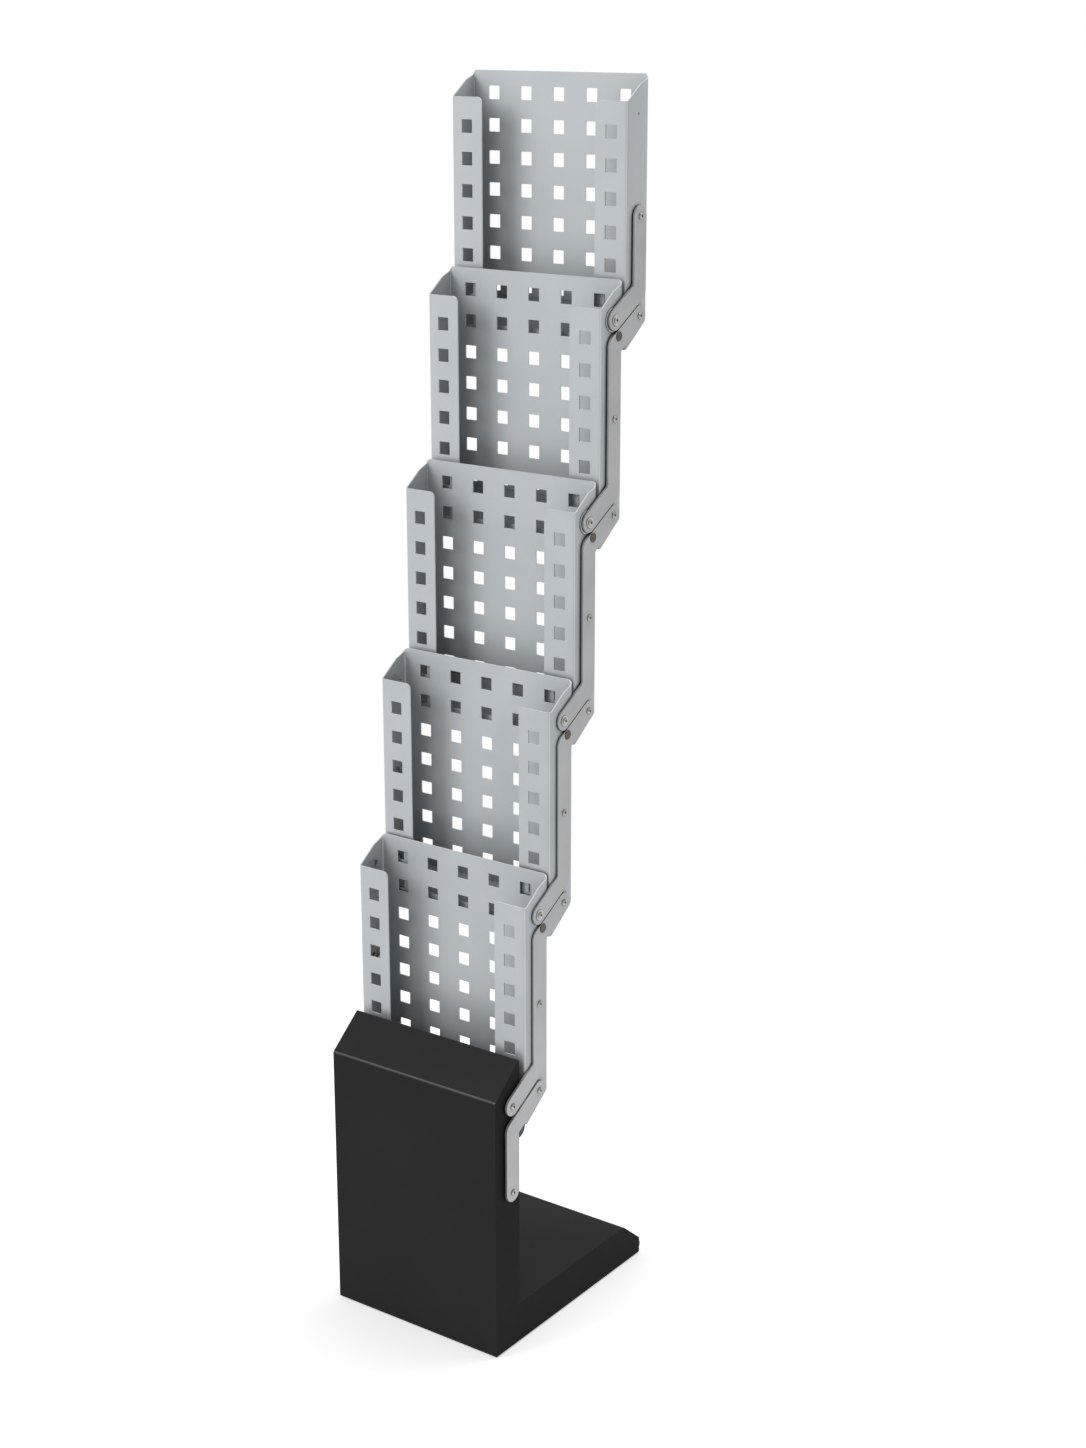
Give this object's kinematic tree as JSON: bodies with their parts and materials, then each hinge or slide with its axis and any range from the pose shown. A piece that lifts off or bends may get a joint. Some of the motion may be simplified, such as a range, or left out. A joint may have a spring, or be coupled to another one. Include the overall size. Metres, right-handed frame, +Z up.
{
  "type": "folding brochure stand",
  "caption": "Floor-standing zigzag brochure stand: perforated A4 trays on scissor links that fold down behind a black L-shaped base.",
  "frame": {"origin": "middle of the stand's footprint on the floor, at the bottom of the rubber glides", "axes": "+Z up, +Y from the block towards the rear of the foot, +X to the right when the stand is seen from the front"},
  "size_m": [0.2544, 0.3075, 1.448],
  "materials": {
    "tray_coat": "satin silver powder coat on aluminium sheet",
    "link_metal": "satin anodised",
    "base_paint": "fine satin black powder coat",
    "screw_steel": "bright stainless",
    "zinc_steel": "zinc plated",
    "ballast_iron": "primed",
    "stud_steel": "blackened",
    "rubber": "moulded"
  },
  "bodies": {
    "base": {"base_housing": "base_paint", "base_bottom_plate": "base_paint", "base_ballast": "ballast_iron", "base_brackets": "zinc_steel", "base_plate_screws": "screw_steel", "base_glides": "rubber", "base_rear_bumper": "rubber", "base_stop_bumpers": "rubber", "base_pivot_screws": "screw_steel", "base_pivot_nuts": "screw_steel", "base_pivot_washers": "screw_steel"},
    "tray_1": {"tray_1_shell": "tray_coat", "tray_1_floor": "tray_coat", "tray_1_screws": "screw_steel", "tray_1_nuts": "screw_steel", "tray_1_washers": "screw_steel"},
    "tray_2": {"tray_2_shell": "tray_coat", "tray_2_floor": "tray_coat", "tray_2_screws": "screw_steel", "tray_2_nuts": "screw_steel", "tray_2_washers": "screw_steel"},
    "tray_3": {"tray_3_shell": "tray_coat", "tray_3_floor": "tray_coat", "tray_3_screws": "screw_steel", "tray_3_nuts": "screw_steel", "tray_3_washers": "screw_steel"},
    "tray_4": {"tray_4_shell": "tray_coat", "tray_4_floor": "tray_coat", "tray_4_screws": "screw_steel", "tray_4_nuts": "screw_steel", "tray_4_washers": "screw_steel"},
    "tray_5": {"tray_5_shell": "tray_coat", "tray_5_floor": "tray_coat", "tray_5_screws": "screw_steel", "tray_5_nuts": "screw_steel", "tray_5_washers": "screw_steel"},
    "link_0": {"link_0_left": "link_metal", "link_0_right": "link_metal"},
    "link_1": {"link_1_left": "link_metal", "link_1_right": "link_metal", "link_1_stop_studs": "stud_steel"},
    "link_2": {"link_2_left": "link_metal", "link_2_right": "link_metal", "link_2_stop_studs": "stud_steel"},
    "link_3": {"link_3_left": "link_metal", "link_3_right": "link_metal", "link_3_stop_studs": "stud_steel"},
    "link_4": {"link_4_left": "link_metal", "link_4_right": "link_metal", "link_4_stop_studs": "stud_steel"},
    "link_5": {"link_5_left": "link_metal", "link_5_right": "link_metal"}
  },
  "joints": [
    {"name": "fold", "type": "hinge", "parent": "base", "child": "link_0", "pos_m": [0, -0.12575, 0.207], "axis": [-1, 0, 0], "range_deg": [0, 129]},
    {"name": "link_1_on_base", "type": "hinge", "parent": "base", "child": "link_1", "pos_m": [0, -0.12575, 0.316], "axis": [-1, 0, 0], "range_deg": [0, 129]},
    {"name": "tray_1_on_link_0", "type": "hinge", "parent": "link_0", "child": "tray_1", "pos_m": [0, -0.07375, 0.316], "axis": [-1, 0, 0], "range_deg": [-129, 0]},
    {"name": "link_2_on_tray_1", "type": "hinge", "parent": "tray_1", "child": "link_2", "pos_m": [0, -0.07375, 0.534], "axis": [-1, 0, 0], "range_deg": [0, 129]},
    {"name": "tray_2_on_link_1", "type": "hinge", "parent": "link_1", "child": "tray_2", "pos_m": [0, -0.02575, 0.534], "axis": [-1, 0, 0], "range_deg": [-129, 0]},
    {"name": "link_3_on_tray_2", "type": "hinge", "parent": "tray_2", "child": "link_3", "pos_m": [0, -0.02575, 0.752], "axis": [-1, 0, 0], "range_deg": [0, 129]},
    {"name": "tray_3_on_link_2", "type": "hinge", "parent": "link_2", "child": "tray_3", "pos_m": [0, 0.02225, 0.752], "axis": [-1, 0, 0], "range_deg": [-129, 0]},
    {"name": "link_4_on_tray_3", "type": "hinge", "parent": "tray_3", "child": "link_4", "pos_m": [0, 0.02225, 0.97], "axis": [-1, 0, 0], "range_deg": [0, 129]},
    {"name": "tray_4_on_link_3", "type": "hinge", "parent": "link_3", "child": "tray_4", "pos_m": [0, 0.07025, 0.97], "axis": [-1, 0, 0], "range_deg": [-129, 0]},
    {"name": "link_5_on_tray_4", "type": "hinge", "parent": "tray_4", "child": "link_5", "pos_m": [0, 0.07025, 1.188], "axis": [-1, 0, 0], "range_deg": [0, 129]},
    {"name": "tray_5_on_link_4", "type": "hinge", "parent": "link_4", "child": "tray_5", "pos_m": [0, 0.11825, 1.188], "axis": [-1, 0, 0], "range_deg": [-129, 0]}
  ],
  "couplings": [
    {"joint": "link_1_on_base", "follows": "fold", "ratio": 1},
    {"joint": "tray_1_on_link_0", "follows": "fold", "ratio": -1},
    {"joint": "link_2_on_tray_1", "follows": "fold", "ratio": 1},
    {"joint": "tray_2_on_link_1", "follows": "fold", "ratio": -1},
    {"joint": "link_3_on_tray_2", "follows": "fold", "ratio": 1},
    {"joint": "tray_3_on_link_2", "follows": "fold", "ratio": -1},
    {"joint": "link_4_on_tray_3", "follows": "fold", "ratio": 1},
    {"joint": "tray_4_on_link_3", "follows": "fold", "ratio": -1},
    {"joint": "link_5_on_tray_4", "follows": "fold", "ratio": 1},
    {"joint": "tray_5_on_link_4", "follows": "fold", "ratio": -1}
  ]
}
